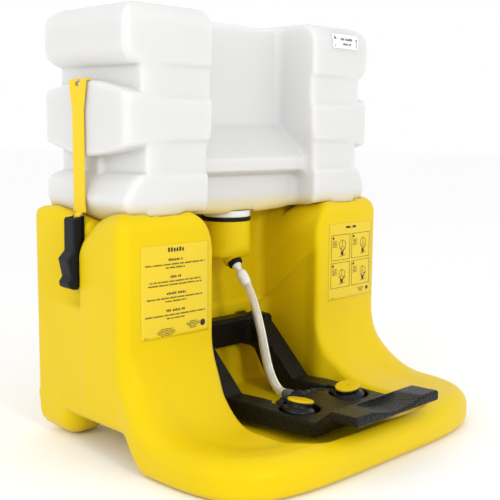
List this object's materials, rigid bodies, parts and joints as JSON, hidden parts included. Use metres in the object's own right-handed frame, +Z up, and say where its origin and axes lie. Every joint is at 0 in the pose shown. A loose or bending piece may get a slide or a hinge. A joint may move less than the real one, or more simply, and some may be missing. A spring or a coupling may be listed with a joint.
{
  "type": "portable gravity-fed eyewash station",
  "caption": "Portable gravity-fed eyewash: a lift-off water tank strapped to a moulded basin base, with a pull-down arm that holds two covered spray heads.",
  "frame": {"origin": "under the middle of the station's overall box, on the surface that it stands on", "axes": "+Z up, front towards -Y, +X to the right of someone facing the front's view"},
  "size_m": [0.573, 0.463, 0.61],
  "materials": {
    "yellow_polyethylene": "satin",
    "natural_polyethylene": "satin",
    "white_plastic": "satin",
    "black_rubber": "matte",
    "clear_hose": "gloss",
    "grey_plastic": "matte",
    "stainless_steel": "brushed",
    "insert_brass": "satin",
    "black_plastic": "textured",
    "clear_label": "gloss",
    "white_label": "gloss",
    "yellow_strap": "satin",
    "yellow_plastic": "satin"
  },
  "bodies": {
    "root": {"base_shell": "yellow_polyethylene", "receiver_cup": "yellow_polyethylene", "receiver_gasket": "black_rubber", "valve_lift_pin": "white_plastic", "outlet_grommet": "black_rubber", "outlet_barb": "white_plastic", "supply_hose": "clear_hose", "hose_sleeve": "clear_hose", "drain_fitting": "grey_plastic", "drain_strainer": "stainless_steel", "drain_bushing": "grey_plastic", "wall_inserts": "insert_brass", "hinge_bracket_left": "black_plastic", "hinge_bracket_right": "black_plastic", "hinge_bracket_screws": "stainless_steel", "arm_hinge_pin_left": "stainless_steel", "arm_hinge_pin_right": "stainless_steel", "latch_bracket_left": "black_plastic", "latch_bracket_right": "black_plastic", "latch_rivets": "stainless_steel", "latch_pivot_pin_left": "black_plastic", "latch_pivot_pin_right": "black_plastic", "label_left": "clear_label", "label_right": "clear_label"},
    "tank": {"tank_shell": "natural_polyethylene", "tank_cap": "white_plastic", "cap_gasket": "black_rubber", "valve_poppet": "white_plastic", "valve_spring": "stainless_steel", "fill_label": "white_label", "strap_left": "yellow_strap", "strap_right": "yellow_strap"},
    "arm": {"arm_frame": "black_plastic", "manifold": "black_plastic", "inlet_connector": "grey_plastic", "feed_tube_left": "black_plastic", "feed_tube_right": "black_plastic", "spray_head_left": "black_plastic", "spray_head_right": "black_plastic", "flow_strainer_left": "white_plastic", "flow_strainer_right": "white_plastic", "tray_bumpers": "black_rubber", "manifold_screws": "stainless_steel"},
    "cover_left": {"spray_cover_left": "yellow_plastic"},
    "cover_right": {"spray_cover_right": "yellow_plastic"},
    "lever_left": {"latch_lever_left": "black_plastic", "latch_hook_pin_left": "stainless_steel"},
    "lever_right": {"latch_lever_right": "black_plastic", "latch_hook_pin_right": "stainless_steel"}
  },
  "joints": [
    {"name": "arm_fold", "type": "hinge", "parent": "root", "child": "arm", "pos_m": [0, 0.132, 0.132], "axis": [-1, 0, 0], "range_deg": [0, 84], "deforming": ["supply_hose"]},
    {"name": "tank_lift", "type": "slide", "parent": "root", "child": "tank", "axis": [0, 0, 1], "range_m": [0, 0.12]},
    {"name": "cover_left_pop", "type": "slide", "parent": "arm", "child": "cover_left", "axis": [0.1908, 0, 0.9816], "range_m": [0, 0.006]},
    {"name": "cover_right_pop", "type": "slide", "parent": "arm", "child": "cover_right", "axis": [-0.1908, 0, 0.9816], "range_m": [0, 0.006]},
    {"name": "latch_left_swing", "type": "hinge", "parent": "root", "child": "lever_left", "pos_m": [-0.268, 0.133, 0.322], "axis": [0, 1, 0], "range_deg": [0, 90]},
    {"name": "latch_right_swing", "type": "hinge", "parent": "root", "child": "lever_right", "pos_m": [0.268, 0.133, 0.322], "axis": [0, -1, 0], "range_deg": [0, 90]}
  ]
}
